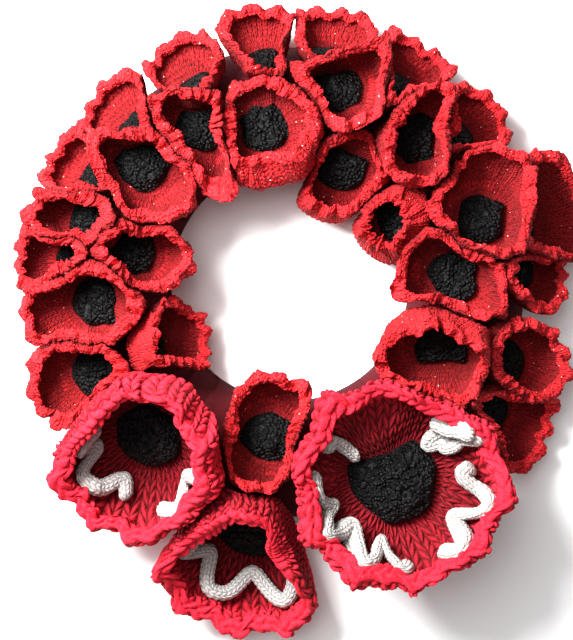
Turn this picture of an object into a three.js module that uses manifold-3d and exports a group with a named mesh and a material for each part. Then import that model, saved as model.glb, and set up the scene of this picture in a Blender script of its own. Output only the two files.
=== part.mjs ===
// A remembrance wreath that lies flat: a flat-backed foam ring wrapped in dark red felt, covered with knitted red
// poppies. Each poppy is an open cup with a black knitted centre. Three large ones in chunky yarn sit at the foot
// of the ring, with white knitted cord sewn inside them. Millimetres, +Z up, +Y towards the top of the wreath.
// The origin is under the middle of the whole wreath, on the surface that it lies on.
import * as THREE from "three";
import { mergeVertices } from "three/addons/utils/BufferGeometryUtils.js";
import Module from "manifold-3d";

const wasm = await Module();
wasm.setup();

// Foam ring
const ringRadius = 140;
const ringHalfWidth = 46;
const ringHeight = 38;
const ringSegments = 40;
const ringSectionPoints = 6;

// What pieces that touch keep between them
const touchGap = 0.3;
const poppyGap = 0.8;

// Knitted fabric
const smallWall = 4;
const chunkyWall = 8;
const smallFloor = 5;
const chunkyFloor = 8;
const stalkRadius = 10;
const leastRadius = 5;
const stalkSink = 3;
// How sharply a wall turns where two neighbours press on it: the power of the smooth least of its limits
const squeeze = 14;

// Black centres
const smallCentreHeight = 5;
const chunkyCentreHeight = 8;
const smallCentreRadius = 22;
const chunkyCentreRadius = 32;
const centreClearance = 3;

// White cord
const cordRadius = 6;
const cordSides = 6;
const cordClearance = 2.2;

const smallSegments = 12;
const chunkySegments = 28;
const centreSegments = 10;
const degree = Math.PI / 180;

// Each poppy: at is its angle round the ring, anticlockwise from +X. across is how far it sits from the ring's
// centreline, as a share of the ring's half width, outwards positive. tilt leans its axis from upright, and toward
// turns that lean anticlockwise from straight outwards. belly and mouth are outer radii, lift is how far the bowl
// stands off the ring on its stalk, and press is how hard it pushes its neighbours aside.
const small = { belly: 44, mouth: 50, depth: 40, lift: 2, press: 1, folds: 5, foldDepth: 3, chunky: false };
const outer = { ...small, belly: 42, mouth: 47, depth: 38, press: 0.65 };
const chunky = { belly: 80, mouth: 80, depth: 58, lift: 4, press: 1, folds: 10, foldDepth: 5, chunky: true };
const poppies = [
  { ...small, name: "poppy_01", at: 77, across: 0.24, tilt: 16, toward: -4, mouth: 56, press: 2.0 },
  { ...small, name: "poppy_02", at: 48, across: 0.1, tilt: 8, toward: 20, mouth: 48, press: 1.2 },
  {
    ...small, name: "poppy_03", at: 65.5, across: -0.84,
    tilt: 26, toward: 180, press: 1.3, mouth: 48, depth: 30, lift: 6,
  },
  {
    ...small, name: "poppy_04", at: 99, across: -0.42,
    tilt: 8, toward: 0, mouth: 60, depth: 30, lift: 9, press: 2.6,
  },
  {
    ...small, name: "poppy_05", at: 30, across: -0.82,
    tilt: 30, toward: 170, belly: 46, mouth: 24, depth: 38,
  },
  { ...small, name: "poppy_06", at: 17, across: 0.3, tilt: 15, toward: 60, mouth: 54, press: 1.35 },
  { ...outer, name: "poppy_07", at: 13, across: 0.74, tilt: 42, toward: 0, mouth: 58, press: 0.85 },
  { ...outer, name: "poppy_08", at: 3, across: 0.6, tilt: 42, toward: 0, mouth: 36, depth: 32 },
  { ...small, name: "poppy_09", at: 2.5, across: -0.32, tilt: 2, toward: 0, mouth: 60, press: 0.9 },
  { ...small, name: "poppy_10", at: -24, across: -0.3, tilt: 28, toward: -90, belly: 46, mouth: 48 },
  {
    ...outer, name: "poppy_11", at: -21.5, across: 0.7,
    tilt: 26, toward: 10, press: 0.8, depth: 36, mouth: 40,
  },
  { ...outer, name: "poppy_12", at: -33.5, across: 0.86, tilt: 36, toward: 10, press: 0.95, depth: 34 },
  { ...outer, name: "poppy_13", at: 61.5, across: 0.44, tilt: 38, toward: 0, press: 0.6, depth: 26 },
  { ...outer, name: "poppy_14", at: 40.5, across: 0.42, tilt: 36, toward: 0, mouth: 45, press: 0.6, depth: 26 },
  { ...outer, name: "poppy_15", at: 80, across: 0.5, tilt: 40, toward: 0, depth: 26, press: 0.6 },
  { ...outer, name: "poppy_16", at: 96.5, across: 0.4, tilt: 28, toward: -10, depth: 28, press: 0.75 },
  { ...outer, name: "poppy_17", at: 116, across: 0.36, tilt: 34, toward: 0, depth: 26, press: 0.6 },
  { ...small, name: "poppy_18", at: 119.5, across: -0.1, tilt: 4, toward: 180, mouth: 56, press: 2.2 },
  { ...small, name: "poppy_19", at: 141.5, across: 0.02, tilt: 4, toward: 180, mouth: 52, press: 2.0 },
  { ...outer, name: "poppy_20", at: 135.5, across: 0.36, tilt: 34, toward: 0, depth: 26, press: 0.6 },
  { ...outer, name: "poppy_21", at: 152.5, across: 0.42, tilt: 36, toward: 12, depth: 28, press: 0.6, mouth: 42 },
  { ...small, name: "poppy_22", at: 163.5, across: 0.3, tilt: 16, toward: 0, mouth: 42 },
  { ...outer, name: "poppy_23", at: 174, across: 0.42, tilt: 32, toward: 0, mouth: 36 },
  { ...small, name: "poppy_24", at: 186, across: 0.16, tilt: 14, toward: 0, press: 1.2 },
  { ...small, name: "poppy_25", at: 205.5, across: 0.46, tilt: 12, toward: 0, press: 1.05 },
  {
    ...small, name: "poppy_26", at: 206, across: -0.4,
    tilt: 56, toward: 172, belly: 36, mouth: 38, depth: 36,
  },
  { ...small, name: "poppy_27", at: 169, across: -0.32, tilt: 12, toward: 180 },
  { ...small, name: "poppy_28", at: 262, across: -0.4, tilt: 12, toward: 180, press: 1.2, mouth: 48 },
  {
    ...chunky, name: "chunky_poppy_left", at: 225.7, across: 0.3,
    tilt: 26, toward: 14, mouth: 68, press: 1.3,
  },
  {
    ...chunky, name: "chunky_poppy_middle", at: 261.5, across: 0.88,
    tilt: 36, toward: 0, lift: 6, depth: 56,
  },
  {
    ...chunky, name: "chunky_poppy_right", at: 297.2, across: 0.62,
    tilt: 5, toward: 120, belly: 62, mouth: 88, lift: 12, depth: 54, press: 2.3,
  },
];

// White cord patterns. A spot is [degrees round the poppy's wall, height up the wall as a share]. The angle is
// anticlockwise from the side that faces away from the ring's middle.
// A flower is a closed ring with rounded petals.
function flower(angle, share, radius, petals, poppy) {
  const { mouth, depth } = poppies.find((p) => p.name === poppy);
  const spots = 4 * petals;
  return Array.from({ length: spots }, (_, i) => {
    const turn = (2 * Math.PI * i) / spots;
    const out = radius * (1 + 0.2 * Math.cos(petals * turn));
    return [angle + ((out / mouth) * Math.cos(turn)) / degree, share + (out / depth) * Math.sin(turn)];
  });
}

// Waves swing up and down the wall as they go round it.
function waves(fromAngle, toAngle, share, swing, count) {
  const spots = Math.round(5 * count);
  return Array.from({ length: spots + 1 }, (_, i) => {
    const turn = (2 * Math.PI * count * i) / spots;
    return [
      fromAngle + ((toAngle - fromAngle) * i) / spots,
      share + swing * Math.sin(turn),
    ];
  });
}

const cords = [
  { name: "white_waves_left_a", poppy: "chunky_poppy_left", route: waves(-72, 26, 0.46, 0.22, 2) },
  { name: "white_waves_left_b", poppy: "chunky_poppy_left", route: waves(58, 122, 0.52, 0.2, 1.25) },
  { name: "white_waves_middle", poppy: "chunky_poppy_middle", route: waves(-100, 84, 0.44, 0.16, 3) },
  {
    name: "white_flower_right",
    poppy: "chunky_poppy_right",
    route: flower(100, 0.56, 18, 5, "chunky_poppy_right"),
    closed: true,
  },
  { name: "white_waves_right_a", poppy: "chunky_poppy_right", route: waves(70, 4, 0.58, -0.2, 2) },
  { name: "white_waves_right_b", poppy: "chunky_poppy_right", route: waves(-18, -118, 0.55, 0.21, 3.5) },
  { name: "white_waves_right_c", poppy: "chunky_poppy_right", route: waves(-136, -152, 0.46, 0.2, 0.8) },
];

// The nodes whose black centre is hidden behind other poppies and is left out
const hiddenCentres = ["07", "08", "13", "14", "15", "17", "20", "21", "23", "26"].map((n) => "poppy_" + n);

// Height of the ring's rounded top, at a distance across it from its centreline.
function ringTop(across) {
  return ringHeight * Math.sqrt(1 - (across / ringHalfWidth) ** 2);
}

// The ring's section is a half ellipse on a flat base, turned round the Z axis. grow offsets it outwards.
function ringGeometry(grow) {
  const section = [];
  for (let i = 0; i <= ringSectionPoints; i++) {
    const turn = (Math.PI * i) / ringSectionPoints;
    section.push(
      new THREE.Vector2(
        ringRadius + (ringHalfWidth + grow) * Math.cos(turn),
        (ringHeight + grow) * Math.sin(turn) - (i % ringSectionPoints === 0 ? grow : 0),
      ),
    );
  }
  section.push(section[0].clone());
  return new THREE.LatheGeometry(section, ringSegments).rotateX(Math.PI / 2);
}

// A poppy's own frame: where it is sewn to the ring, its axis, and the two directions across the axis.
function placed(poppy) {
  const at = poppy.at * degree;
  const across = poppy.across * ringHalfWidth;
  const outward = new THREE.Vector3(Math.cos(at), Math.sin(at), 0);
  const along = new THREE.Vector3(-Math.sin(at), Math.cos(at), 0);
  const sewn = outward.clone().multiplyScalar(ringRadius + across).setZ(ringTop(across));
  const sewnNormal = outward
    .clone()
    .multiplyScalar(across / ringHalfWidth ** 2)
    .setZ(sewn.z / ringHeight ** 2)
    .normalize();
  const lean = outward
    .clone()
    .multiplyScalar(Math.cos(poppy.toward * degree))
    .addScaledVector(along, Math.sin(poppy.toward * degree));
  const axis = lean.multiplyScalar(Math.sin(poppy.tilt * degree)).setZ(Math.cos(poppy.tilt * degree));
  const foot = sewn.clone().addScaledVector(axis, poppy.lift);
  const side = outward.clone().addScaledVector(axis, -outward.dot(axis)).normalize();
  const front = new THREE.Vector3().crossVectors(axis, side);
  const mouthCentre = foot.clone().addScaledVector(axis, poppy.depth);
  return { ...poppy, sewn, sewnNormal, foot, axis, side, front, mouthCentre };
}

// The nearest points of two segments, by clamping each line's nearest point in turn.
function nearestPoints(a0, a1, b0, b1) {
  const u = a1.clone().sub(a0);
  const v = b1.clone().sub(b0);
  const w = a0.clone().sub(b0);
  const uu = u.dot(u);
  const uv = u.dot(v);
  const vv = v.dot(v);
  const clamp = (x) => Math.min(1, Math.max(0, x));
  let s = clamp((uv * v.dot(w) - vv * u.dot(w)) / Math.max(uu * vv - uv * uv, 1e-9));
  const t = clamp((uv * s + v.dot(w)) / vv);
  s = clamp((uv * t - u.dot(w)) / uu);
  return [a0.clone().addScaledVector(u, s), b0.clone().addScaledVector(v, t)];
}

// The planes that keep a poppy on its own side: one against each neighbour, square to the shortest way between
// their axes and shared by size, one against the ring's rounded top, and one against the surface below.
function wallPlanes(poppy, all) {
  const planes = all
    .filter((other) => other !== poppy)
    .map((other) => {
      const [here, there] = nearestPoints(poppy.foot, poppy.mouthCentre, other.foot, other.mouthCentre);
      const normal = there.clone().sub(here);
      const distance = normal.length();
      const weight = (p) => p.press * Math.max(p.belly, p.mouth);
      const share = weight(poppy) / (weight(poppy) + weight(other));
      normal.normalize();
      return { normal, point: here.addScaledVector(normal, distance * share - poppyGap / 2) };
    });
  planes.push({ normal: poppy.sewnNormal.clone().negate(), point: poppy.sewn });
  planes.push({ normal: new THREE.Vector3(0, 0, -1), point: new THREE.Vector3(0, 0, touchGap) });
  return planes;
}

const smoothStep = (x) => {
  const t = Math.min(1, Math.max(0, x));
  return t * t * (3 - 2 * t);
};

// The outer wall's radius where nothing presses on it: a round-bottomed bowl out to the belly, then on to the mouth.
function freeRadius(poppy, share) {
  const rise = Math.sin((Math.PI / 2) * Math.min(1, Math.max(0, share) / 0.6)) ** 0.4;
  const flare = (poppy.mouth - poppy.belly) * smoothStep((share - 0.1) / 0.9);
  return stalkRadius + (poppy.belly - stalkRadius) * rise + flare;
}

// A point of the wall at an angle round the axis and a height up it, as a share of the depth. inset is how far
// inside the outer surface it lies. The wall folds only where nothing presses on it.
function wallPoint(poppy, angle, share, inset) {
  const across = poppy.side
    .clone()
    .multiplyScalar(Math.cos(angle))
    .addScaledVector(poppy.front, Math.sin(angle));
  const onAxis = poppy.foot.clone().addScaledVector(poppy.axis, share * poppy.depth);
  const free = freeRadius(poppy, share);
  let crowd = free ** -squeeze;
  for (const plane of poppy.planes) {
    const facing = plane.normal.dot(across);
    const room = plane.point.clone().sub(onAxis).dot(plane.normal);
    if (facing > 0.02) crowd += Math.max(room / facing, 1) ** -squeeze;
  }
  const crowded = crowd ** (-1 / squeeze);
  const loose = smoothStep((crowded / free - 0.75) / 0.2);
  const wave = Math.cos(poppy.folds * angle + poppy.turn);
  const fold = poppy.foldDepth * loose * smoothStep((share - 0.25) / 0.75);
  const radius = Math.max(crowded - (fold * (1 - wave)) / 2, leastRadius) - inset;
  return onAxis.addScaledVector(across, Math.max(radius, 1)).addScaledVector(poppy.axis, (fold * wave) / 2);
}

// A closed skin over a pole, rings of points and another pole. The rings turn anticlockwise seen from the last pole.
// Without poles, the last ring joins the first.
function skin(rings, firstPole, lastPole) {
  const count = rings[0].length;
  const points = rings.flat();
  const faces = [];
  const at = (ring, i) => (ring % rings.length) * count + (i % count);
  const bands = firstPole ? rings.length - 1 : rings.length;
  for (let i = 0; i < count; i++) {
    for (let ring = 0; ring < bands; ring++) {
      faces.push(at(ring, i), at(ring, i + 1), at(ring + 1, i + 1));
      faces.push(at(ring, i), at(ring + 1, i + 1), at(ring + 1, i));
    }
    if (firstPole) {
      faces.push(points.length, at(0, i + 1), at(0, i));
      faces.push(points.length + 1, at(rings.length - 1, i), at(rings.length - 1, i + 1));
    }
  }
  if (firstPole) points.push(firstPole, lastPole);
  return new THREE.BufferGeometry().setFromPoints(points).setIndex(faces);
}

// A skin geometry as a solid that can be cut, and a cut solid as a geometry.
function solidOf(geometry) {
  const bare = geometry.clone();
  bare.deleteAttribute("normal");
  bare.deleteAttribute("uv");
  const merged = mergeVertices(bare, 1e-4);
  return new wasm.Manifold(
    new wasm.Mesh({
      numProp: 3,
      vertProperties: merged.attributes.position.array,
      triVerts: new Uint32Array(merged.index.array),
    }),
  );
}

function geometryOf(solid) {
  const mesh = solid.getMesh();
  return new THREE.BufferGeometry()
    .setAttribute("position", new THREE.BufferAttribute(new Float32Array(mesh.vertProperties), 3))
    .setIndex(new THREE.BufferAttribute(new Uint32Array(mesh.triVerts), 1));
}

const anglesRound = (count) => Array.from({ length: count }, (_, i) => (2 * Math.PI * i) / count);

// The fabric's own sizes for a poppy.
function fabric(poppy) {
  return poppy.chunky
    ? { wall: chunkyWall, floor: chunkyFloor, segments: chunkySegments }
    : { wall: smallWall, floor: smallFloor, segments: smallSegments };
}

// The knitted cup: up the outside, over the rolled lip and down the inside to the floor, cut where it meets the ring
// and where its cords press into it.
function cupGeometry(poppy, ringCutter) {
  const { wall, floor, segments } = fabric(poppy);
  const floorShare = floor / poppy.depth;
  const stations = [
    [-(poppy.lift + stalkSink) / poppy.depth, 0],
    [0.16, 0],
    [0.5, 0],
    [0.93, 0],
    [1, wall / 2],
    ...(poppy.chunky ? [[0.93, wall], [0.5, wall]] : []),
    [floorShare, wall],
  ];
  const rings = stations.map(([share, inset]) =>
    anglesRound(segments).map((angle) => wallPoint(poppy, angle, share, inset)),
  );
  const onAxis = (height) => poppy.foot.clone().addScaledVector(poppy.axis, height);
  const cup = skin(rings, onAxis(-poppy.lift - stalkSink), onAxis(floor));
  const pressed = cords
    .filter((cord) => cord.poppy === poppy.name)
    .map((cord) => solidOf(cordGeometry(cord, poppy, touchGap)));
  return geometryOf(pressed.reduce((left, cord) => left.subtract(cord), solidOf(cup).subtract(ringCutter)));
}

const group = new THREE.Group();
const addMesh = (name, geometry, material) => {
  const mesh = new THREE.Mesh(geometry, material);
  mesh.name = name;
  group.add(mesh);
};

const felt = new THREE.MeshStandardMaterial({ color: 0x4a0c12, roughness: 0.95, metalness: 0 });
const redYarn = new THREE.MeshStandardMaterial({ color: 0xc4161f, roughness: 0.9, metalness: 0 });
const chunkyYarn = new THREE.MeshStandardMaterial({ color: 0xcf1830, roughness: 0.9, metalness: 0 });
const blackYarn = new THREE.MeshStandardMaterial({ color: 0x0d0c0d, roughness: 0.9, metalness: 0 });
const whiteYarn = new THREE.MeshStandardMaterial({ color: 0xf2ece6, roughness: 0.85, metalness: 0 });

// The black centre: a low dome on the cup's floor.
function centreGeometry(poppy) {
  const { wall, floor } = fabric(poppy);
  const height = poppy.chunky ? chunkyCentreHeight : smallCentreHeight;
  const widest = poppy.chunky ? chunkyCentreRadius : smallCentreRadius;
  const onAxis = (up) => poppy.foot.clone().addScaledVector(poppy.axis, up);
  const ring = (up, share) =>
    anglesRound(centreSegments).map((angle) => {
      const wallSides = [floor, floor + height].map((h) =>
        wallPoint(poppy, angle, h / poppy.depth, wall + centreClearance).sub(onAxis(h)),
      );
      const radius = Math.min(...wallSides.map((side) => side.length()), widest) * share;
      return onAxis(up).addScaledVector(wallSides[0].normalize(), radius);
    });
  const base = floor + touchGap;
  return skin([ring(base, 0.92), ring(base + height * 0.6, 0.95)], onAxis(base), onAxis(base + height));
}

// A tube round a row of points, with flat ends, or closed round on itself. Each ring lies across the line between
// its neighbours.
function tubeGeometry(points, upAt, radius, closed) {
  const last = points.length - 1;
  const clamped = (i) => Math.min(Math.max(i, 0), last);
  const neighbour = (i) => points[closed ? (i + last + 1) % (last + 1) : clamped(i)];
  const rings = points.map((point, i) => {
    const forward = neighbour(i + 1).clone().sub(neighbour(i - 1)).normalize();
    const sideways = new THREE.Vector3().crossVectors(forward, upAt[i]).normalize();
    const up = new THREE.Vector3().crossVectors(sideways, forward);
    return anglesRound(cordSides).map((a) =>
      point
        .clone()
        .addScaledVector(up, radius * Math.cos(a))
        .addScaledVector(sideways, radius * Math.sin(a)),
    );
  });
  return closed ? skin(rings) : skin(rings, points[0], points[last]);
}

// White cord laid along a route on the inside of a poppy's wall. grow offsets it outwards.
function cordGeometry(cord, poppy, grow) {
  const { wall } = fabric(poppy);
  const spots = cord.route;
  const inside = (angle, share) => wallPoint(poppy, angle * degree, share, wall);
  const inward = spots.map(([angle, share]) => {
    const round = inside(angle + 6, share).sub(inside(angle - 6, share));
    const up = inside(angle, share + 0.08).sub(inside(angle, share - 0.08));
    return up.cross(round).normalize();
  });
  const points = spots.map(([angle, share], i) =>
    inside(angle, share).addScaledVector(inward[i], cordRadius + cordClearance),
  );
  const pastEnd = (end, before) => end.addScaledVector(end.clone().sub(before).normalize(), grow);
  if (!cord.closed) {
    pastEnd(points[0], points[1]);
    pastEnd(points[points.length - 1], points[points.length - 2]);
  }
  return tubeGeometry(points, inward, cordRadius + 1.2 * grow, cord.closed);
}

// Builds the wreath round the ring's own centre, then moves it so that the origin is under the middle of it all.
const allPlaced = poppies.map((poppy, i) => ({ ...placed(poppy), turn: 2.4 * i }));
for (const poppy of allPlaced) poppy.planes = wallPlanes(poppy, allPlaced);
const ringCutter = solidOf(ringGeometry(touchGap));
addMesh("felt_ring", ringGeometry(0), felt);
for (const poppy of allPlaced) {
  addMesh(poppy.name, cupGeometry(poppy, ringCutter), poppy.chunky ? chunkyYarn : redYarn);
  if (!hiddenCentres.includes(poppy.name))
    addMesh(poppy.name.replace("poppy", "centre"), centreGeometry(poppy), blackYarn);
}
for (const cord of cords) {
  addMesh(cord.name, cordGeometry(cord, allPlaced.find((p) => p.name === cord.poppy), 0), whiteYarn);
}
const extent = new THREE.Box3().setFromObject(group);
group.position.set(-(extent.min.x + extent.max.x) / 2, -(extent.min.y + extent.max.y) / 2, 0);

export default group;
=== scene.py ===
import math
import bmesh
import bpy
import numpy as np
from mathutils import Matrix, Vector


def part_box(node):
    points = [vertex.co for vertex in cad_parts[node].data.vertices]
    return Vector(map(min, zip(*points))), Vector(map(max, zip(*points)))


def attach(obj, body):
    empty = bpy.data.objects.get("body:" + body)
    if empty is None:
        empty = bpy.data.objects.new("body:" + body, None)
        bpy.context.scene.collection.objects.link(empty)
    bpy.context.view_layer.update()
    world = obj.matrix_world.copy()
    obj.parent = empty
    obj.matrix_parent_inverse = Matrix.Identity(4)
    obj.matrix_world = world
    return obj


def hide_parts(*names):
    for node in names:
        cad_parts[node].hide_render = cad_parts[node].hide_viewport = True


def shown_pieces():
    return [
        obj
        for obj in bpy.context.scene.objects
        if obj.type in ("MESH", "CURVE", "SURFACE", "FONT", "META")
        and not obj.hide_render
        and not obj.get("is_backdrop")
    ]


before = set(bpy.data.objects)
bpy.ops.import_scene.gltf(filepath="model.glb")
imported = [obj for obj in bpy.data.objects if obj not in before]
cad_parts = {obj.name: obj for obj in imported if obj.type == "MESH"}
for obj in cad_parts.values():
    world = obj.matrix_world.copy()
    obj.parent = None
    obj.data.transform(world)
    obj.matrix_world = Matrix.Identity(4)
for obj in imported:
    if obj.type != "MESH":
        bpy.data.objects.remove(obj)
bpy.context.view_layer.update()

# Sizes are in millimetres, as in the CAD source, and shapes are worked out round the ring's centre.
metre = 0.001
ringLow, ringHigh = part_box("felt_ring")
ringCentre = (np.array(ringLow) + np.array(ringHigh)) / 2
ringCentre[2] = 0

ring = {
    "radius": 140,
    "halfWidth": 46,
    "height": 38,
    "wrapTurns": 30,
    "wrapStep": 1.8,
    "wrapLean": 0.7,
    "columns": 420,
    "domeRows": 20,
    "baseRows": 6,
}
fabric = {
    "under": 0.3,
    "squeeze": 14,
    "stalkRadius": 10,
    "leastRadius": 5,
    "roundHarmonics": 6,
    "swayFrom": 24,
    "swayRise": 40,
    "sway": 3.2,
    "swayLength": 46,
    "crinkle": 1.5,
    "crinkleLength": 15,
    "chunkyCrinkle": 0.3,
    "stalkSink": 3,
}

# belly and mouth are outer radii, lift is how far the bowl stands off the ring, and press is how hard it
# pushes its neighbours aside. gap is what two poppies keep between them, the larger of their own. spread is
# what the knitting adds to the mouth of the solid.
small = dict(
    belly=44, mouth=50, depth=40, lift=2, press=1, folds=5, foldDepth=3, chunky=False, gap=0.8, spread=0
)
outer = dict(small, belly=42, mouth=47, depth=38, press=0.65, gap=-3.2, spread=4)
chunky = dict(small, belly=80, mouth=80, depth=58, lift=4, folds=10, foldDepth=5, chunky=True)

# Where each poppy is sewn on. at is degrees round the ring from +X, across a share of the ring's half width
# from its centreline, tilt the lean of its axis and toward the direction of that lean from straight outwards.
# Poppies 03, 04 and 17 and the left and middle chunky ones are set nearer to the photo than their solids.
poppies = [
    dict(small, name="poppy_01", at=77, across=0.24, tilt=16, toward=-4, mouth=56, press=2.0),
    dict(small, name="poppy_02", at=48, across=0.1, tilt=8, toward=20, mouth=48, press=1.2),
    dict(
        small, name="poppy_03", at=66, across=-0.84,
        tilt=18, toward=190, press=1.55, belly=52, mouth=40, depth=30, lift=6,
    ),
    dict(
        small, name="poppy_04", at=99, across=-0.5,
        tilt=6, toward=0, belly=60, mouth=40, depth=30, lift=9, press=2.8,
    ),
    dict(small, name="poppy_05", at=30, across=-0.82, tilt=30, toward=170, belly=46, mouth=24, depth=38),
    dict(small, name="poppy_06", at=17, across=0.3, tilt=15, toward=60, mouth=54, press=1.35),
    dict(outer, name="poppy_07", at=13, across=0.74, tilt=42, toward=0, mouth=58, press=0.85),
    dict(outer, name="poppy_08", at=3, across=0.6, tilt=42, toward=0, mouth=36, depth=32),
    dict(small, name="poppy_09", at=2.5, across=-0.32, tilt=2, toward=0, mouth=60, press=0.9),
    dict(small, name="poppy_10", at=-24, across=-0.3, tilt=28, toward=-90, belly=46, mouth=48),
    dict(outer, name="poppy_11", at=-21.5, across=0.7, tilt=26, toward=10, press=0.8, depth=36, mouth=40),
    dict(outer, name="poppy_12", at=-33.5, across=0.86, tilt=36, toward=10, press=0.95, depth=34),
    dict(outer, name="poppy_13", at=61.5, across=0.44, tilt=38, toward=0, press=0.6, depth=26),
    dict(outer, name="poppy_14", at=40.5, across=0.42, tilt=36, toward=0, mouth=45, press=0.6, depth=26),
    dict(outer, name="poppy_15", at=80, across=0.5, tilt=40, toward=0, depth=26, press=0.6),
    dict(outer, name="poppy_16", at=96.5, across=0.4, tilt=28, toward=-10, depth=28, press=0.75),
    dict(outer, name="poppy_17", at=116, across=0.3, tilt=32, toward=0, depth=26, press=0.6),
    dict(small, name="poppy_18", at=119.5, across=-0.1, tilt=4, toward=180, mouth=56, press=2.2),
    dict(small, name="poppy_19", at=141.5, across=0.02, tilt=4, toward=180, mouth=52, press=2.0),
    dict(outer, name="poppy_20", at=135.5, across=0.36, tilt=34, toward=0, depth=26, press=0.6),
    dict(outer, name="poppy_21", at=152.5, across=0.42, tilt=36, toward=12, depth=28, press=0.6, mouth=42),
    dict(small, name="poppy_22", at=163.5, across=0.3, tilt=16, toward=0, mouth=42),
    dict(outer, name="poppy_23", at=174, across=0.42, tilt=32, toward=0, mouth=36),
    dict(small, name="poppy_24", at=186, across=0.16, tilt=14, toward=0, press=1.2),
    dict(small, name="poppy_25", at=205.5, across=0.46, tilt=12, toward=0, press=1.05),
    dict(small, name="poppy_26", at=206, across=-0.4, tilt=56, toward=172, belly=36, mouth=38, depth=36),
    dict(small, name="poppy_27", at=169, across=-0.32, tilt=12, toward=180),
    dict(small, name="poppy_28", at=262, across=-0.4, tilt=12, toward=180, press=1.2, mouth=48),
    dict(
        chunky, name="chunky_poppy_left", at=227.2, across=0.27,
        tilt=26, toward=14, belly=62, mouth=72, press=1.5,
    ),
    dict(
        chunky, name="chunky_poppy_middle", at=261.5, across=0.94,
        tilt=32, toward=0, belly=54, lift=6, depth=56,
    ),
    dict(
        chunky, name="chunky_poppy_right", at=297.2, across=0.62,
        tilt=5, toward=120, belly=62, mouth=88, lift=12, depth=54, press=2.3,
    ),
]


def unit(v):
    # v divided by its length
    return v / np.linalg.norm(v)


def smoothStep(x):
    # t is x kept from 0 to 1, and the step is t squared times (3 - 2 t)
    t = np.clip(x, 0, 1)
    return t * t * (3 - 2 * t)


def ringTop(across):
    # height of the ring's top: height times the square root of 1 minus (across / half width) squared
    return ring["height"] * np.sqrt(1 - (across / ring["halfWidth"]) ** 2)


def placed(poppy):
    # The poppy's sewn point and normal on the ring, and two directions across its axis. The axis is the lean
    # times sin tilt plus +Z times cos tilt.
    at, toward, tilt = (math.radians(poppy[k]) for k in ("at", "toward", "tilt"))
    across = poppy["across"] * ring["halfWidth"]
    outward = np.array([math.cos(at), math.sin(at), 0])
    along = np.array([-math.sin(at), math.cos(at), 0])
    sewn = outward * (ring["radius"] + across)
    sewn[2] = ringTop(across)
    normal = outward * (across / ring["halfWidth"] ** 2)
    normal[2] = sewn[2] / ring["height"] ** 2
    lean = outward * math.cos(toward) + along * math.sin(toward)
    axis = lean * math.sin(tilt) + np.array([0, 0, math.cos(tilt)])
    foot = sewn + axis * poppy["lift"]
    side = unit(outward - axis * outward.dot(axis))
    return dict(
        poppy,
        sewn=sewn,
        sewnNormal=unit(normal),
        foot=foot,
        axis=axis,
        side=side,
        front=np.cross(axis, side),
        mouthCentre=foot + axis * poppy["depth"],
    )


def nearestPoints(a0, a1, b0, b1):
    # the nearest points of two segments: each line's nearest parameter is clamped from 0 to 1 in turn
    u, v, w = a1 - a0, b1 - b0, a0 - b0
    uu, uv, vv = u.dot(u), u.dot(v), v.dot(v)
    s = np.clip((uv * v.dot(w) - vv * u.dot(w)) / max(uu * vv - uv * uv, 1e-9), 0, 1)
    t = np.clip((uv * s + v.dot(w)) / vv, 0, 1)
    s = np.clip((uv * t - u.dot(w)) / uu, 0, 1)
    return a0 + u * s, b0 + v * t


def wallPlanes(poppy, everyone):
    # Each neighbour's plane stands square to the shortest way between the two axes, at a share of it set by
    # size and press.
    planes = []
    for other in everyone:
        if other is poppy:
            continue
        here, there = nearestPoints(poppy["foot"], poppy["mouthCentre"], other["foot"], other["mouthCentre"])
        weights = [p["press"] * max(p["belly"], p["mouth"]) for p in (poppy, other)]
        distance = np.linalg.norm(there - here)
        normal = (there - here) / distance
        gap = max(poppy["gap"], other["gap"])
        planes.append((normal, here + normal * (distance * weights[0] / sum(weights) - gap / 2)))
    planes.append((-poppy["sewnNormal"], poppy["sewn"]))
    planes.append((np.array([0, 0, -1.0]), np.array([0, 0, fabric["under"]])))
    return planes


def freeRadius(poppy, share):
    # Stalk radius, plus the rest of the belly times sin(90 degrees of share / 0.6) to the power 0.4, plus the
    # flare from belly to mouth by a smooth step.
    rise = np.sin(math.pi / 2 * np.clip(share / 0.6, 0, 1)) ** 0.4
    flare = (poppy["mouth"] + poppy["spread"] - poppy["belly"]) * smoothStep((share - 0.1) / 0.9)
    return fabric["stalkRadius"] + (poppy["belly"] - fabric["stalkRadius"]) * rise + flare


def crowding(poppy, angle, share):
    # Directions across the axis, spots on it, the free radius and the crowded one: the smooth least (the
    # p-norm with power -squeeze) of the free radius and the room to each plane.
    across = poppy["side"] * np.cos(angle)[..., None] + poppy["front"] * np.sin(angle)[..., None]
    onAxis = poppy["foot"] + poppy["axis"] * (share * poppy["depth"])[..., None]
    free = freeRadius(poppy, share)
    crowd = free ** -fabric["squeeze"]
    for normal, point in poppy["planes"]:
        facing = across @ normal
        room = (point - onAxis) @ normal
        near = np.where(facing > 0.02, np.maximum(room / np.where(facing > 0.02, facing, 1), 1), 1e9)
        crowd = crowd + near ** -fabric["squeeze"]
    return across, onAxis, free, crowd ** (-1 / fabric["squeeze"])


def creviceShade(poppy, angle, share, over):
    # How far a spot is down between pressed lips, which sets the painted shade there: 1 less the smooth step
    # of (crowded / free - 0.7) / 0.25, on the outer 0.45 of the lip.
    free, crowded = crowding(poppy, *np.broadcast_arrays(angle, share))[2:]
    return (1 - smoothStep((crowded / free - 0.7) / 0.25)) * (1 - smoothStep(over / 0.45))


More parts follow.
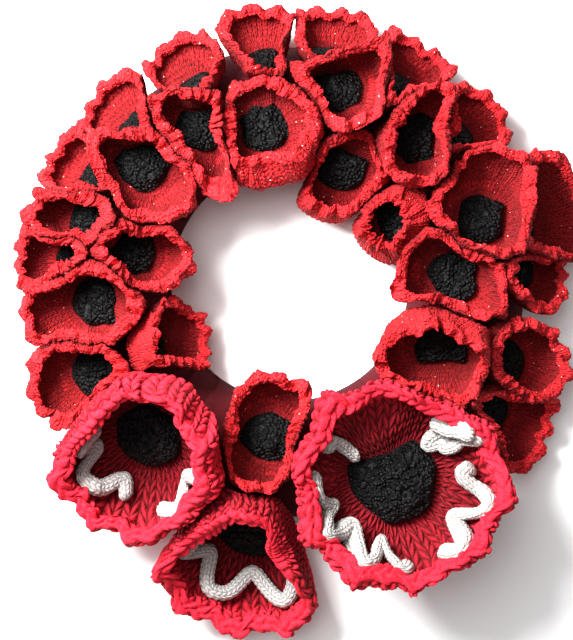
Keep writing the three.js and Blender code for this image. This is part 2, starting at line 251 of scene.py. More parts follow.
def wallPoints(poppy, angle, share, inset, scale=1.0, ruffle=0.0, mellow=False):
    # Where nothing presses, folds take the crowded radius in by fold (1 - wave) / 2 and move it along the
    # axis by fold wave / 2. The large folds start at crowded / free of 0.75 and the ruffle at 0.88. When
    # mellow, the corners further in are those of the radius with its high harmonics damped.
    angle, share, inset, scale = np.broadcast_arrays(angle, share, inset, scale)
    across, onAxis, free, crowded = crowding(poppy, angle, share)
    loose, looser = smoothStep((crowded / free - 0.75) / 0.2), smoothStep((crowded / free - 0.88) / 0.1)
    wave = np.cos(poppy["folds"] * angle + poppy["turn"])
    wave2 = np.cos((2 * poppy["folds"] + 3) * angle + 1.3 * np.sin(2 * angle) + 1.7 * poppy["turn"])
    fold = poppy["foldDepth"] * loose * smoothStep((share - 0.25) / 0.75)
    fold2 = ruffle * looser * smoothStep((share - 0.45) / 0.55)
    radius = np.maximum(crowded - fold * (1 - wave) / 2 - fold2 * (1 - wave2) / 2, fabric["leastRadius"])
    if mellow:
        harmonics = np.fft.rfft(radius, axis=1)
        damping = np.exp(-((np.arange(harmonics.shape[1]) / fabric["roundHarmonics"]) ** 2))
        rounded = np.fft.irfft(harmonics * damping, radius.shape[1], axis=1)
        radius = radius + (np.minimum(rounded, radius) - radius) * smoothStep(inset / 5)
    radius = np.maximum(radius - inset, 1) * scale
    lifted = fold * wave / 2 + fold2 * wave2 / 2
    return onAxis + across * radius[..., None] + poppy["axis"] * lifted[..., None]


def unevenness(points, size, seed):
    # a smooth noise of about -1 to 1: a third of the sum of seven sine waves, each about size long, in seeded
    # directions
    draw = np.random.default_rng(seed)
    total = 0
    for _ in range(7):
        direction = unit(draw.normal(size=3)) * 2 * math.pi / (size * draw.uniform(0.7, 1.5))
        total = total + np.sin(points @ direction + draw.uniform(0, 2 * math.pi))
    return total / 3


def swayed(points, crinkled=1.0):
    # All the knitting sways together, so that pressed walls bend side by side: each coordinate gains two
    # smooth noises, a long and a short one, that fade in from swayFrom up over swayRise.
    rise = smoothStep((points[..., 2] - fabric["swayFrom"]) / fabric["swayRise"])
    shift = [
        fabric["sway"] * unevenness(points, fabric["swayLength"], 40 + k)
        + crinkled * fabric["crinkle"] * unevenness(points, fabric["crinkleLength"], 50 + k)
        for k in range(3)
    ]
    return points + np.stack(shift, axis=-1) * rise[..., None]


def knobs(u, v, turns, seed, stray=0.3):
    # Round knobs on a jittered grid that repeats after turns cells of u. A knob stands up by 1 - (d / 0.7)^2,
    # where d is the distance in cells to the nearest grid point.
    draw = np.random.default_rng(seed)
    rows = 64
    jitter = draw.uniform(-stray, stray, size=(2, turns, rows))
    cellU, cellV = np.floor(u), np.floor(v)
    nearest = np.full(np.broadcast(u, v).shape, 9.0)
    for stepU in (-1, 0, 1):
        for stepV in (-1, 0, 1):
            i, j = cellU + stepU, cellV + stepV
            shift = jitter[:, i.astype(int) % turns, j.astype(int) % rows]
            away = np.hypot(i + 0.5 + shift[0] - u, j + 0.5 + shift[1] - v)
            nearest = np.minimum(nearest, away)
    return np.clip(1 - (nearest / 0.7) ** 2, 0, 1)


def surfaceNormals(points):
    # the cross product of the differences round the grid and along it, of unit length
    aroundIt = np.roll(points, -1, axis=1) - np.roll(points, 1, axis=1)
    along = np.gradient(points, axis=0)
    normal = np.cross(aroundIt, along)
    return normal / np.maximum(np.linalg.norm(normal, axis=2, keepdims=True), 1e-9)


def makeSkin(name, points, uAt, vAt, shades, closed=False):
    # A closed skin of quads over rows of points that turn right round. The first and last rows draw in to a
    # point each, or join when closed. uAt and vAt are the UVs, in rows one value longer than the points'.
    rows, columns = points.shape[:2]
    index = np.arange(rows * columns).reshape(rows, columns)
    index = np.hstack([index, index[:, :1]])
    u, v = np.broadcast_arrays(uAt, vAt)
    if closed:
        index = np.vstack([index, index[:1]])
        u, v = np.vstack([u, u[-1:]]), np.vstack([v, 2 * v[-1:] - v[-2:-1]])

    def fourCorners(grid):
        return np.stack([grid[:-1, :-1], grid[:-1, 1:], grid[1:, 1:], grid[1:, :-1]], axis=2)

    quads = fourCorners(index).reshape(-1, 4)
    uv = fourCorners(np.stack([u, v], axis=-1)).reshape(-1, 2)
    mesh = bpy.data.meshes.new(name)
    where = (points.reshape(-1, 3) * metre + ringCentre).astype(np.float32)
    mesh.vertices.add(len(where))
    mesh.vertices.foreach_set("co", where.ravel())
    mesh.loops.add(quads.size)
    mesh.loops.foreach_set("vertex_index", quads.ravel().astype(np.int32))
    mesh.polygons.add(len(quads))
    mesh.polygons.foreach_set("loop_start", np.arange(0, quads.size, 4, dtype=np.int32))
    mesh.update(calc_edges=True)
    mesh.polygons.foreach_set("use_smooth", np.ones(len(quads), dtype=bool))
    mesh.uv_layers.new(name="knit").data.foreach_set("uv", uv.ravel().astype(np.float32))
    for key, value in shades.items():
        flat = np.broadcast_to(value, (rows, columns)).ravel().astype(np.float32)
        mesh.attributes.new(key, "FLOAT", "POINT").data.foreach_set("value", flat)
    if not closed:
        weldPoles(mesh, columns, rows)
    made = bpy.data.objects.new(name, mesh)
    bpy.context.scene.collection.objects.link(made)
    return made


def weldPoles(mesh, columns, rows):
    # the first and last rows become one vertex each
    made = bmesh.new()
    made.from_mesh(mesh)
    made.verts.ensure_lookup_table()
    last = (rows - 1) * columns
    ends = [made.verts[:columns], made.verts[last:]]
    for end in ends:
        middle = sum((v.co for v in end[1:]), end[0].co.copy()) / len(end)
        bmesh.ops.pointmerge(made, verts=end, merge_co=middle)
    made.to_mesh(mesh)
    made.free()


def cupRows(poppy, look):
    # Rows of share of the depth, inset and scale: a pole, up the outside, round the rolled lip by
    # inset = lip (1 - cos turn) and height = lip sin turn, down the inside, and in over the floor to a pole.
    depth, lip, wall = poppy["depth"], look["lip"], look["wall"]
    lipAt = 1 - lip / depth
    low = -(poppy["lift"] + fabric["stalkSink"]) / depth
    rise = np.linspace(0, 1, look["outerRows"])
    outside = [(low + (lipAt - low) * t, 0, 1) for t in rise]
    turns = np.radians(np.linspace(0, look["lipTurn"], look["lipRows"] + 1)[1:])
    rolled = [(lipAt + lip * math.sin(t) / depth, lip * (1 - math.cos(t)), 1) for t in turns]
    innerTop, floorAt = lipAt - look["lipEnd"] * lip / depth, look["floor"] / depth
    inside = [(innerTop + (floorAt - innerTop) * t, wall, 1) for t in np.linspace(0, 1, look["innerRows"])]
    base = [(floorAt, wall, 1 - t) for t in np.linspace(0, 1, look["floorRows"] + 1)[1:]]
    rows = [(low, 0, 0.0)] + outside + rolled + inside + base
    zone = [0] * (1 + len(outside)) + [1] * len(rolled) + [2] * len(inside) + [3] * len(base)
    share, inset, scale = (np.array(x, dtype=float)[:, None] for x in zip(*rows))
    return share, inset, scale, np.array(zone)[:, None]


def stitchLegs(c, r, slant, roundness):
    # Two slanted legs to a stitch. a runs 0 to 1 from the stitch's middle to its edge, q is the height along
    # the leg's own row, and the leg stands up by the square root of (1 - |2a - 1|^roundness) times
    # (1 - |2q|^roundness).
    a = np.abs((c % 1) - 0.5) * 2
    q = (r - slant * a) % 1 - 0.5
    lump = (1 - np.abs(2 * a - 1) ** roundness) * (1 - np.abs(2 * q) ** roundness)
    return np.sqrt(np.maximum(lump, 0))


def rowLengths(points):
    # the mean distance along the grid from its first row
    steps = np.linalg.norm(np.diff(points, axis=0), axis=2).mean(axis=1)
    return np.concatenate([[0], np.cumsum(steps)])[:, None]


smallLook = {
    "wall": 4,
    "floor": 5,
    "lip": 3.9,
    "lipTurn": 235,
    "lipEnd": 1.35,
    "columns": 60,
    "perColumn": 4,
    "rowHeight": 2.6,
    "outerRows": 8,
    "lipRows": 18,
    "innerRows": 14,
    "floorRows": 1,
    "ruffle": 3.2,
    "warpLength": 13,
    "ribOutside": 0.5,
    "ribInside": 0.55,
    "ribWander": 0.3,
    "knots": 60,
    "knotDepth": 2.3,
    "knotRow": 3.8,
    "knotReach": 11,
    "knotWander": 0.35,
    "knotStray": 0.2,
    "frill": 2,
    "frills": 19,
    "frillLength": 42,
    "frillReach": 14,
    "bulge": 0.55,
    # the painted shade down between pressed lips, and on the lip's flanks beyond crest from its middle
    "creviceShade": 0.5,
    "crest": 5,
    "flankShade": 0.26,
}
chunkyLook = {
    "wall": 8,
    "floor": 8,
    "lip": 8,
    "lipTurn": 240,
    "lipEnd": 1.35,
    "stitchWidth": 14.5,
    "perColumn": 10,
    "rowHeight": 8,
    "outerRows": 38,
    "lipRows": 32,
    "innerRows": 36,
    "floorRows": 3,
    "ruffle": 2.4,
    "relief": 3.4,
    "slant": 0.85,
    "roundness": 2.8,
    "warpLength": 45,
    "stitchWander": 0.16,
    "courseLength": 38,
    "courseWander": 0.2,
    "plumpLength": 24,
    "plumpVary": 0.15,
    "chainFrom": 0.3,
    "chainTo": 0.74,
    "chainPace": 1.25,
    "chainSlant": 0.75,
    "chainRelief": 4.6,
    "chainSunk": 0.62,
    # the painted shade down between pressed lips
    "creviceShade": 0.45,
}


def lipShare(zone, rows):
    # how far over the lip a row is, from 0 outside to 1 inside
    return np.clip(np.cumsum((zone == 1) * 1.0, axis=0) / rows, 0, 1)


def wallDepth(points, poppy):
    # how deep below the mouth a point lies, as a share of the cup's depth
    return np.clip(1 - ((points - poppy["foot"]) @ poppy["axis"]) / poppy["depth"], 0, 1)


def smallCup(poppy, material):
    # Ribs sink the walls by rib depth (1 - cos of the stitch columns). The lip is covered in knots and
    # lowered by frill (1 - cos(frills angle)). Painted shade darkens it away from the lip's crest, by
    # the flank shade (1 - exp(-(distance / crest)^2)), as well as deeper down inside the cup and between
    # pressed lips.
    look = smallLook
    share, inset, scale, zone = cupRows(poppy, look)
    count = look["columns"] * look["perColumn"]
    angle = np.arange(count)[None, :] * 2 * math.pi / count
    points = wallPoints(poppy, angle, share, inset, scale, look["ruffle"], True)
    along = rowLengths(points)
    seed = int(poppy["turn"] * 10)
    warp = unevenness(points, look["warpLength"], seed)
    lipMiddle = along[look["outerRows"] + look["lipRows"] // 2]
    onLip = smoothStep((look["knotReach"] - np.abs(along - lipMiddle)) / 5) * (zone < 3) + 0 * angle
    rib = np.cos(2 * math.pi * (angle * look["columns"] / (2 * math.pi) + look["ribWander"] * warp))
    knots = knobs(
        look["knots"] * angle / (2 * math.pi) + look["knotWander"] * warp,
        along / look["knotRow"] + 0.3 * unevenness(points, 11, seed + 1),
        look["knots"],
        seed + 2,
        look["knotStray"],
    )
    frill = np.cos(look["frills"] * angle + 2.2 * unevenness(points, look["frillLength"], seed + 3))
    height = look["ribOutside"] * (rib - 1) * (zone == 0) * scale
    height = height + look["ribInside"] * (rib - 1) * (zone == 2)
    height = height + onLip * look["knotDepth"] * (knots - look["bulge"])
    nearLip = smoothStep(1 - np.abs(along - lipMiddle) / look["frillReach"])
    points = points + surfaceNormals(points) * height[..., None]
    points = points + poppy["axis"] * (look["frill"] * (frill - 1) * nearLip)[..., None]
    # stand is the height of the ribs and knots; the material paints shade in its low places
    stand = (rib + 3) / 4 * (1 - onLip) + knots * onLip
    # painted shade: darker deeper down inside the cup, on the lip's flanks away from its crest, and down
    # between pressed lips
    paintedShade = wallDepth(points, poppy) * (zone >= 2)
    paintedShade = paintedShade + look["flankShade"] * (1 - np.exp(-(((along - lipMiddle) / look["crest"]) ** 2)))
    paintedShade = paintedShade + look["creviceShade"] * creviceShade(poppy, angle, share, lipShare(zone, look["lipRows"]))
    made = makeSkin(
        "knitted_" + poppy["name"],
        swayed(points),
        np.arange(count + 1) / look["perColumn"],
        along / look["rowHeight"],
        {"stand": stand, "inside": paintedShade},
    )
    made.data.materials.append(material)
    return made


def chunkyCup(poppy, material):
    # Stitch legs stand on the walls. The cast-off edge is a chain along the top of the lip: strands slant one
    # way up its outer half and the other way down its inner half. A strand stands up by the square root of
    # (1 - |2p - 1|^2.4)(1 - |2h - 1|^3), with p the place across it and h its place in its half of the chain.
    look = chunkyLook
    share, inset, scale, zone = cupRows(poppy, look)
    rim = wallPoints(poppy, np.linspace(0, 2 * math.pi, 200), 0.95, 0)
    columns = round(np.linalg.norm(np.diff(rim, axis=0), axis=1).sum() / look["stitchWidth"])
    count = columns * look["perColumn"]
    angle = np.arange(count)[None, :] * 2 * math.pi / count
    points = wallPoints(poppy, angle, share, inset, scale, look["ruffle"])
    along = rowLengths(points)
    seed = int(poppy["turn"] * 10)
    warp = unevenness(points, look["warpLength"], seed)
    stitches = angle * columns / (2 * math.pi) + look["stitchWander"] * warp
    wander = look["courseWander"] * unevenness(points, look["courseLength"], seed + 1)
    courses = along / look["rowHeight"] + wander
    legs = stitchLegs(stitches, courses, look["slant"], look["roundness"])
    over = lipShare(zone, look["lipRows"])
    chain = np.clip((over - look["chainFrom"]) / (look["chainTo"] - look["chainFrom"]), 0, 0.9999)
    half = (chain * 2) % 1
    lean = np.where(chain < 0.5, half, 1 - half)
    strand = stitches * look["chainPace"] + look["chainSlant"] * lean + np.where(chain < 0.5, 0, 0.5)
    strand = strand % 1
    plump = (1 - np.abs(2 * strand - 1) ** 2.4) * (1 - np.abs(2 * half - 1) ** 3)
    onChain = (zone == 1) * (chain > 0) * (chain < 0.999)
    stand = np.where(onChain, np.sqrt(np.maximum(plump, 0)), legs)
    relief = look["relief"] * (legs - 1)
    height = np.where(onChain, look["chainRelief"] * (stand - look["chainSunk"]), relief)
    vary = 1 + look["plumpVary"] * unevenness(points, look["plumpLength"], seed + 2)
    height = height * np.clip(scale, 0, 1) * vary
    points = points + surfaceNormals(points) * height[..., None]
    # painted shade: darker deeper down inside the cup and down between pressed lips
    paintedShade = wallDepth(points, poppy) * (zone >= 2) + look["creviceShade"] * creviceShade(poppy, angle, share, over)
    made = makeSkin(
        "knitted_" + poppy["name"],
        swayed(points, fabric["chunkyCrinkle"]),
        np.hstack([stitches, stitches[:, :1] + columns]),
        np.hstack([courses, courses[:, :1]]),
        {"stand": stand, "plain": onChain, "inside": paintedShade},
    )
    made.data.materials.append(material)
    return made


centre = {
    "smallRadius": 20.5,
    "chunkyShare": 0.39,
    "smallHeight": 6,
    "chunkyHeight": 9,
    "smallKnot": 3.6,
    "chunkyKnot": 7,
    "knotHeight": 0.5,
    "smallGrid": (72, 18),
    "chunkyGrid": (150, 36),
    "clearance": 0.8,
    "standOff": 0.35,
    "rimMean": 0.96,
    "rimVary": 0.05,
}


def blackCentre(poppy, material):
    # A dome of height (1 - radius^2.6)^0.5 over a flat back, covered in knots, with an uneven rim.
    isChunky = poppy["chunky"]
    kind = "chunky" if isChunky else "small"
    cup = chunkyLook if isChunky else smallLook
    floor, wall = cup["floor"], cup["wall"]
    knot = centre[kind + "Knot"]
    count, rows = centre[kind + "Grid"]
    angle = np.arange(count)[None, :] * 2 * math.pi / count
    edge = wallPoints(poppy, angle, np.full((1, 1), floor / poppy["depth"]), wall + centre["clearance"])
    onAxis = poppy["foot"] + poppy["axis"] * floor
    out = (edge - onAxis)[0]
    room = np.linalg.norm(out, axis=1)
    out = out / room[:, None]
    seed = int(poppy["turn"] * 10) + 5
    widest = centre["chunkyShare"] * poppy["mouth"] if isChunky else centre["smallRadius"]
    rim = centre["rimMean"] + centre["rimVary"] * unevenness(out * 30, 26, seed)
    reach = np.minimum(room, widest) * rim
    slope = np.linspace(1, 0, rows) ** 0.8
    share = np.concatenate([[0], np.ones(1), slope])[:, None]
    rise = np.concatenate([[0, 0], np.sqrt(np.clip(1 - slope**2.6, 0, 1))])[:, None]
    flat = [np.cos(angle) * share * reach, np.sin(angle) * share * reach, 0 * share * reach]
    flat = np.stack(flat, axis=-1)
    lumps = knobs(
        flat[..., 0] / knot + 0.4 * unevenness(flat, knot * 3.1, seed) + 32,
        flat[..., 1] / knot + 0.4 * unevenness(flat, knot * 2.7, seed + 1) + 32,
        64,
        seed + 2,
    )
    up = centre["standOff"] + (centre[kind + "Height"] + lumps * knot * centre["knotHeight"]) * rise
    points = onAxis + out * (share * reach)[..., None] + poppy["axis"] * up[..., None]
    made = makeSkin(
        poppy["name"].replace("poppy", "knitted_centre"),
        swayed(points, fabric["chunkyCrinkle"] if isChunky else 1.0),
        np.arange(count + 1) / 4,
        np.arange(rows + 2)[:, None] / 3,
        {"stand": lumps, "inside": np.zeros(share.shape)},
    )
    made.data.materials.append(material)
    return made


cordLook = {
    "radius": 5.8,
    "clearance": 1.4,
    "around": 28,
    "step": 1.1,
    "legs": 6,
    "stitch": 4.2,
    "slant": 0.7,
    "roundness": 2.6,
    "relief": 0.9,
    "sunk": 0.75,
    "petal": 0.2,
    "spots": 400,
}


def waves(fromAngle, toAngle, share, swing, count):
    # evenly round the wall, with the height share + swing sin(turns)
    t = np.linspace(0, 1, cordLook["spots"])
    return fromAngle + (toAngle - fromAngle) * t, share + swing * np.sin(2 * math.pi * count * t)


def flower(angle, share, radius, petals, poppy):
    # a closed ring of radius (1 + petal cos(petals turn))
    turn = np.linspace(0, 2 * math.pi, cordLook["spots"], endpoint=False)
    out = radius * (1 + cordLook["petal"] * np.cos(petals * turn))
    return (
        angle + np.degrees(out / poppy["mouth"] * np.cos(turn)),
        share + out / poppy["depth"] * np.sin(turn),
    )


def whiteCord(name, poppy, route, material, closed=False):
    # The cord's middle lies its own radius and a clearance off the inside of the wall. Its skin turns round
    # the line by up cos a + sideways sin a, with stitch legs standing on it.
    wall = chunkyLook["wall"]
    angle, share = route
    radius = cordLook["radius"]

    def inside(dAngle, dShare):
        return wallPoints(poppy, np.radians(angle + dAngle), share + dShare, wall)

    inward = np.cross(inside(0, 0.08) - inside(0, -0.08), inside(6, 0) - inside(-6, 0))
    inward /= np.linalg.norm(inward, axis=1, keepdims=True)
    line = inside(0, 0) + inward * (radius + cordLook["clearance"])
    if closed:
        line, inward = np.vstack([line, line[:1]]), np.vstack([inward, inward[:1]])
    lengths = np.concatenate([[0], np.cumsum(np.linalg.norm(np.diff(line, axis=0), axis=1))])
    total = lengths[-1]
    spots = np.linspace(0, total, max(round(total / cordLook["step"]), 12))
    if closed:
        spots = spots[:-1]
    line = np.stack([np.interp(spots, lengths, line[:, k]) for k in range(3)], axis=1)
    inward = np.stack([np.interp(spots, lengths, inward[:, k]) for k in range(3)], axis=1)
    if closed:
        forward = np.roll(line, -1, axis=0) - np.roll(line, 1, axis=0)
    else:
        forward = np.gradient(line, axis=0)
    forward /= np.linalg.norm(forward, axis=1, keepdims=True)
    sideways = np.cross(forward, inward)
    sideways /= np.linalg.norm(sideways, axis=1, keepdims=True)
    up = np.cross(sideways, forward)
    rows = len(spots)
    around = cordLook["around"]
    turn = np.arange(around)[None, :] * 2 * math.pi / around
    size = np.full((rows, 1), 1.0)
    if not closed:
        end = np.minimum(spots, spots[-1] - spots) / radius
        size = np.sqrt(np.clip(1 - (1 - np.clip(end, 0, 1)) ** 2, 0, 1))[:, None]
    courses = spots[:, None] / cordLook["stitch"]
    columns = turn * cordLook["legs"] / (2 * math.pi)
    legs = stitchLegs(columns, courses, cordLook["slant"], cordLook["roundness"])
    width = (radius + cordLook["relief"] * (legs - cordLook["sunk"])) * size
    points = line[:, None] + up[:, None] * (np.cos(turn) * width)[..., None]
    points = points + sideways[:, None] * (np.sin(turn) * width)[..., None]
    made = makeSkin(
        name,
        swayed(points, fabric["chunkyCrinkle"]),
        np.arange(around + 1) * cordLook["legs"] / around,
        courses,
        {"stand": legs, "inside": np.zeros(legs.shape)},
        closed,
    )
    made.data.materials.append(material)
    return made


def feltRing(material):
    # The half ellipse turned round Z, with out = radius + half width cos a and up = height sin a. The wrap
    # makes a saw-tooth step that goes round the section as it goes along.
    count, baseRows = ring["columns"], ring["baseRows"]
    rows = ring["domeRows"] + baseRows
    angle = np.arange(count)[None, :] * 2 * math.pi / count
    section = np.linspace(0, math.pi, ring["domeRows"])
    base = np.linspace(0, 1, baseRows + 2)[1:-1]
    x = np.concatenate([np.cos(section), -1 + 2 * base])[:, None]
    z = np.concatenate([np.sin(section), np.zeros(baseRows)])[:, None]
    lean = np.linspace(0, ring["wrapLean"], rows)[:, None]
    wrap = (angle / (2 * math.pi) * ring["wrapTurns"] + lean) % 1
    step = -ring["wrapStep"] * wrap * (z > 0.02)
    out = ring["radius"] + (ring["halfWidth"] + step) * x
    up = (ring["height"] + step) * z + 0 * angle
    points = np.stack([out * np.cos(angle), out * np.sin(angle), up], axis=-1)
    # stand falls along each wrapped strip towards its step, so the material paints shade where the strip
    # tucks under the next
    made = makeSkin(
        "wrapped_ring",
        points[::-1],
        np.arange(count + 1) / 12,
        np.arange(rows)[:, None] / 3,
        {"stand": 1 - wrap[::-1] * 0.5, "inside": np.zeros(wrap.shape)},
        closed=True,
    )
    made.data.materials.append(material)
    return made


class Graph:
    # a material's nodes, with a short way to add one and link its inputs
    def __init__(self, name):
        self.material = bpy.data.materials.new(name)
        self.material.use_nodes = True
        self.tree = self.material.node_tree
        self.surface = self.tree.nodes["Principled BSDF"]

    def add(self, kind, inputs=(), **settings):
        node = self.tree.nodes.new(kind)
        for key, value in settings.items():
            setattr(node, key, value)
        for key, value in dict(inputs).items():
            self.put(node.inputs[key], value)
        return node

    def put(self, socket, value):
        if isinstance(value, bpy.types.NodeSocket):
            self.tree.links.new(value, socket)
        else:
            socket.default_value = value

    def math(self, operation, a, b=0.0):
        return self.add("ShaderNodeMath", {0: a, 1: b}, operation=operation).outputs[0]

    def mix(self, factor, a, b):
        node = self.add("ShaderNodeMix", data_type="RGBA")
        for key, value in (("Factor_Float", factor), ("A_Color", a), ("B_Color", b)):
            socket = next(s for s in node.inputs if s.identifier == key)
            self.put(socket, value)
        return next(s for s in node.outputs if s.identifier == "Result_Color")

    def attribute(self, name):
        return self.add("ShaderNodeAttribute", attribute_name=name).outputs["Fac"]

    def range(self, value, low, high, toLow, toHigh):
        return self.add(
            "ShaderNodeMapRange",
            {"Value": value, "From Min": low, "From Max": high, "To Min": toLow, "To Max": toHigh},
        ).outputs[0]


def yarn(name, look):
    # Knitted yarn: two slanted legs to a stitch from the UVs, fine fibres, painted shade between the stitches
    # and deeper down inside a cup, and here and there a painted glint on a speck of glitter thread.
    g = Graph(name)
    uv = g.add("ShaderNodeSeparateXYZ", {0: g.add("ShaderNodeUVMap", uv_map="knit").outputs[0]})
    where = g.add("ShaderNodeTexCoord").outputs["Object"]
    across = g.math("ABSOLUTE", g.math("SUBTRACT", g.math("FRACT", uv.outputs[0]), 0.5))
    across = g.math("MULTIPLY", across, 2.0)
    ripple = g.math("FRACT", g.math("SUBTRACT", uv.outputs[1], g.math("MULTIPLY", across, look["slant"])))
    row = g.math("SINE", g.math("MULTIPLY", ripple, math.pi))
    leg = g.math("SINE", g.math("MULTIPLY", across, math.pi))
    stitch = g.math("MULTIPLY", g.math("POWER", leg, look["soft"]), g.math("POWER", row, look["soft"]))
    stitch = g.math("MAXIMUM", stitch, g.attribute("plain"))
    fibre = g.add("ShaderNodeTexNoise", {"Vector": where, "Scale": look["fibreScale"], "Detail": 3.0})
    bumps = g.add("ShaderNodeTexVoronoi", {"Vector": where, "Scale": look["bumpScale"]})
    lump = g.range(bumps.outputs["Distance"], 0.1, 0.75, 1, 0)
    patch = g.add("ShaderNodeTexNoise", {"Vector": where, "Scale": 28.0, "Detail": 2.0})
    stand = g.attribute("stand")
    # the painted shade that the cups store: deeper down a cup, on a lip's flanks and down between pressed
    # lips
    paintedShadeLevel = g.attribute("inside")
    raised = g.math("MULTIPLY", stitch, look["stitch"])
    raised = g.math("ADD", raised, g.math("MULTIPLY", fibre.outputs[0], look["fibre"]))
    raised = g.math("ADD", raised, g.math("MULTIPLY", lump, look["lumps"]))
    bump = g.add("ShaderNodeBump", {"Height": raised, "Strength": 1.0, "Distance": look["bump"]})
    # painted shade: darker in the grooves between stitch legs, in the low places of the stand attribute and
    # between the fibre lumps
    shade = g.range(stitch, 0, 0.8, look["grooveShade"], 1)
    shade = g.math("MULTIPLY", shade, g.range(stand, 0, 0.7, look["valleyShade"], 1))
    shade = g.math("MULTIPLY", shade, g.range(lump, 0, 0.75, look["between"], 1))
    shade = g.math("MULTIPLY", shade, g.range(patch.outputs[0], 0.3, 0.7, 0.84, 1.12))
    # painted shade: the colour darkens with that attribute
    shade = g.math("MULTIPLY", shade, g.range(paintedShadeLevel, 0.1, look["paintedShadeFullAt"], 1, look["paintedShadeLevel"]))
    colour = g.mix(g.range(fibre.outputs[0], 0.35, 0.7, 0, 1), (*look["colour"], 1), (*look["tip"], 1))
    scaled = g.add("ShaderNodeVectorMath", {0: colour}, operation="SCALE")
    g.put(scaled.inputs["Scale"], shade)
    final = scaled.outputs[0]
    # painted glints: pale pink specks standing in for glitter thread catching the light
    if look["glintSpecks"]:
        cell = g.add("ShaderNodeTexVoronoi", {"Vector": where, "Scale": 460.0})
        tint = g.add("ShaderNodeSeparateColor", {0: cell.outputs["Color"]})
        near = g.math("LESS_THAN", cell.outputs["Distance"], 0.22)
        chosen = g.math("GREATER_THAN", tint.outputs[0], 1 - look["glintSpecks"])
        final = g.mix(g.math("MULTIPLY", near, chosen), final, (1.0, 0.5, 0.4, 1))
    g.put(g.surface.inputs["Base Color"], final)
    g.put(g.surface.inputs["Normal"], bump.outputs[0])
    g.surface.inputs["Roughness"].default_value = look["roughness"]
    g.surface.inputs["Sheen Weight"].default_value = look["sheen"]
    g.surface.inputs["Sheen Roughness"].default_value = look["sheenRoughness"]
    g.surface.inputs["Sheen Tint"].default_value = (*look["sheenTint"], 1)
    g.surface.inputs["Specular IOR Level"].default_value = look["specular"]
    return g.material


# The shade factors here paint shade: in the grooves between stitch legs, in the low places between ribs,
# knots and strands, between the fibre lumps and deeper down inside a cup. The specks are painted glints.
redLook = {
    "colour": (0.80, 0.011, 0.015),
    "tip": (1.0, 0.036, 0.052),
    "slant": 0.7,
    "soft": 0.6,
    "fibreScale": 800.0,
    "bumpScale": 360.0,
    "stitch": 0.8,
    "fibre": 0.35,
    "lumps": 0.9,
    "between": 0.66,
    "bump": 0.0014,
    "grooveShade": 0.5,
    "valleyShade": 0.42,
    "paintedShadeLevel": 0.36,
    "paintedShadeFullAt": 0.55,
    "glintSpecks": 0.03,
    "roughness": 0.8,
    "sheen": 0.05,
    "sheenTint": (1.0, 0.2, 0.2),
    "sheenRoughness": 0.45,
    "specular": 0.14,
}
chunkyRed = dict(
    redLook, colour=(0.59, 0.009, 0.024), tip=(0.85, 0.022, 0.048), stitch=1.0, fibre=0.4, lumps=0.1,
    grooveShade=0.4, valleyShade=0.5, between=0.85, glintSpecks=0.0, fibreScale=620.0, bump=0.0024, slant=0.85, soft=0.5,
)
blackLook = dict(
    redLook, colour=(0.0008, 0.0008, 0.0010), tip=(0.0045, 0.0042, 0.0048), stitch=0.0, glintSpecks=0.0,
    sheen=0.0, grooveShade=1.0, valleyShade=0.15, specular=0.15, roughness=0.55, bump=0.0022, lumps=1.2,
)
whiteLook = dict(
    redLook, colour=(0.38, 0.36, 0.34), tip=(0.53, 0.50, 0.48), lumps=0.2, glintSpecks=0.0,
    sheenTint=(1.0, 1.0, 1.0), grooveShade=0.62, valleyShade=0.8, between=0.95, bump=0.001, paintedShadeLevel=1.0,
)
feltLook = dict(
    blackLook, colour=(0.04, 0.003, 0.005), tip=(0.08, 0.005, 0.008), valleyShade=0.4, roughness=0.9,
    specular=0.1, fibre=0.6, bump=0.0006, lumps=0.2, between=0.9,
)

red = yarn("red_yarn", redLook)
chunkyYarn = yarn("chunky_red_yarn", chunkyRed)
black = yarn("black_yarn", blackLook)
white = yarn("white_cord", whiteLook)
felt = yarn("dark_red_felt", feltLook)

everyone = [dict(placed(poppy), turn=2.4 * i) for i, poppy in enumerate(poppies)]
for poppy in everyone:
    poppy["planes"] = wallPlanes(poppy, everyone)
byName = {poppy["name"]: poppy for poppy in everyone}


def joined(piece, slot, *nodes):
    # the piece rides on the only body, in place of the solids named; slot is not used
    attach(piece, "root")
    if nodes:
        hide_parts(*nodes)


joined(feltRing(felt), "dark_red_felt", "felt_ring")
print("ring made")
for poppy in everyone:
    isChunky = poppy["chunky"]
    cup = chunkyCup(poppy, chunkyYarn) if isChunky else smallCup(poppy, red)
    joined(cup, "chunky_red_yarn" if isChunky else "red_yarn", poppy["name"])
    node = poppy["name"].replace("poppy", "centre")
    joined(blackCentre(poppy, black), "black_yarn", *([node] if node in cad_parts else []))
print("poppies made")

left, middle, right = (byName["chunky_poppy_" + k] for k in ("left", "middle", "right"))
cords = [
    ("left_a", left, waves(-72, 26, 0.46, 0.22, 2), False),
    ("left_b", left, waves(58, 122, 0.52, 0.2, 1.25), False),
    ("middle", middle, waves(-100, 84, 0.44, 0.16, 3), False),
    ("flower_right", right, flower(100, 0.56, 18, 5, right), True),
    ("right_a", right, waves(70, 4, 0.58, -0.2, 2), False),
    ("right_b", right, waves(-18, -118, 0.55, 0.21, 3.5), False),
    ("right_c", right, waves(-136, -152, 0.46, 0.2, 0.8), False),
]
for name, poppy, route, closed in cords:
    cord = whiteCord("knitted_cord_" + name, poppy, route, white, closed)
    joined(cord, "white_cord", "white_" + ("flower_right" if closed else "waves_" + name))
print("cords made")

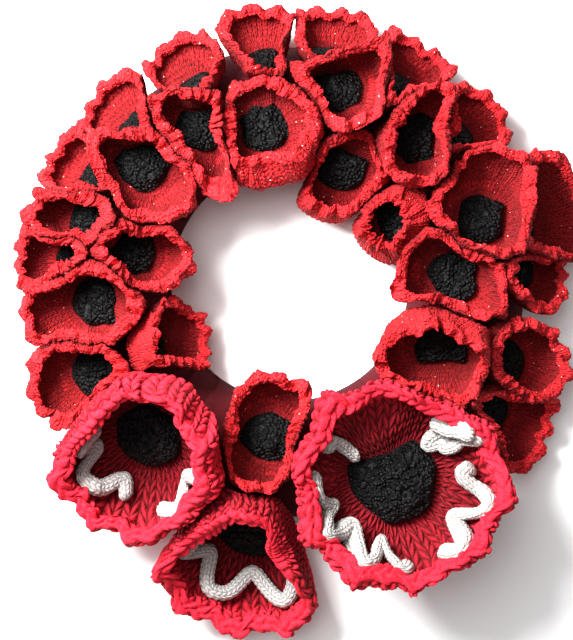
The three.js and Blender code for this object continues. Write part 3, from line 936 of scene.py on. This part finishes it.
studio = {
    "floorColour": (0.93, 0.93, 0.93),
    "floorSize": 6.0,
    "floorDrop": 0.0005,
    "keyAt": (-0.5, 0.4, 0.7),
    "keySize": 0.45,
    "keyPower": 43.0,
    "fillAt": (-0.35, 0.35, 1.3),
    "fillSize": 1.0,
    "fillPower": 11.0,
    "worldLight": 0.34,
    "aimHeight": 0.03,
    "cameraAt": (-0.0026, -0.030),
    "cameraHeight": 1.1,
    "sharpAt": 0.060,
    "pixel": 0.00075,
    "tall": 640,
    "sensor": 36,
}


def floorPlane():
    # a plain pale square, just under the wreath
    half = studio["floorSize"] / 2
    mesh = bpy.data.meshes.new("studio_floor")
    corners = [(-half, -half, 0), (half, -half, 0), (half, half, 0), (-half, half, 0)]
    mesh.from_pydata(corners, [], [(0, 1, 2, 3)])
    made = bpy.data.objects.new("studio_floor", mesh)
    made.location.z = -studio["floorDrop"]
    bpy.context.scene.collection.objects.link(made)
    material = bpy.data.materials.new("studio_floor")
    material.use_nodes = True
    shader = material.node_tree.nodes["Principled BSDF"]
    shader.inputs["Base Color"].default_value = (*studio["floorColour"], 1)
    shader.inputs["Roughness"].default_value = 0.9
    shader.inputs["Specular IOR Level"].default_value = 0.1
    made.data.materials.append(material)
    made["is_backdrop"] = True


def areaLight(name, at, size, power):
    # a round light at a place, turned to the wreath's middle
    data = bpy.data.lights.new(name, "AREA")
    data.shape, data.size, data.energy = "DISK", size, power
    made = bpy.data.objects.new(name, data)
    made.location = at
    ray = Vector((0, 0, studio["aimHeight"])) - Vector(at)
    made.rotation_euler = ray.to_track_quat("-Z", "Y").to_euler()
    bpy.context.scene.collection.objects.link(made)


floorPlane()
areaLight("key", studio["keyAt"], studio["keySize"], studio["keyPower"])
areaLight("fill", studio["fillAt"], studio["fillSize"], studio["fillPower"])
world = bpy.data.worlds.new("studio")
world.use_nodes = True
world.node_tree.nodes["Background"].inputs[0].default_value = (1, 1, 1, 1)
world.node_tree.nodes["Background"].inputs[1].default_value = studio["worldLight"]
bpy.context.scene.world = world
bpy.context.scene.view_settings.view_transform = "Standard"

# The lens makes one pixel of the photo's long side as large as "pixel" at "sharpAt", where the mouths are.
camera = bpy.data.objects.new("camera", bpy.data.cameras.new("camera"))
shiftX, shiftY = studio["cameraAt"]
camera.location = (ringCentre[0] + shiftX, ringCentre[1] + shiftY, studio["cameraHeight"])
focal = (studio["cameraHeight"] - studio["sharpAt"]) / studio["pixel"]
camera.data.sensor_width = studio["sensor"]
camera.data.lens = studio["sensor"] * focal / studio["tall"]
bpy.context.scene.collection.objects.link(camera)
bpy.context.scene.camera = camera

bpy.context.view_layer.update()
triangles = sum(len(p.vertices) - 2 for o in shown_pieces() for p in o.data.polygons)
print("scene made,", triangles, "triangles")
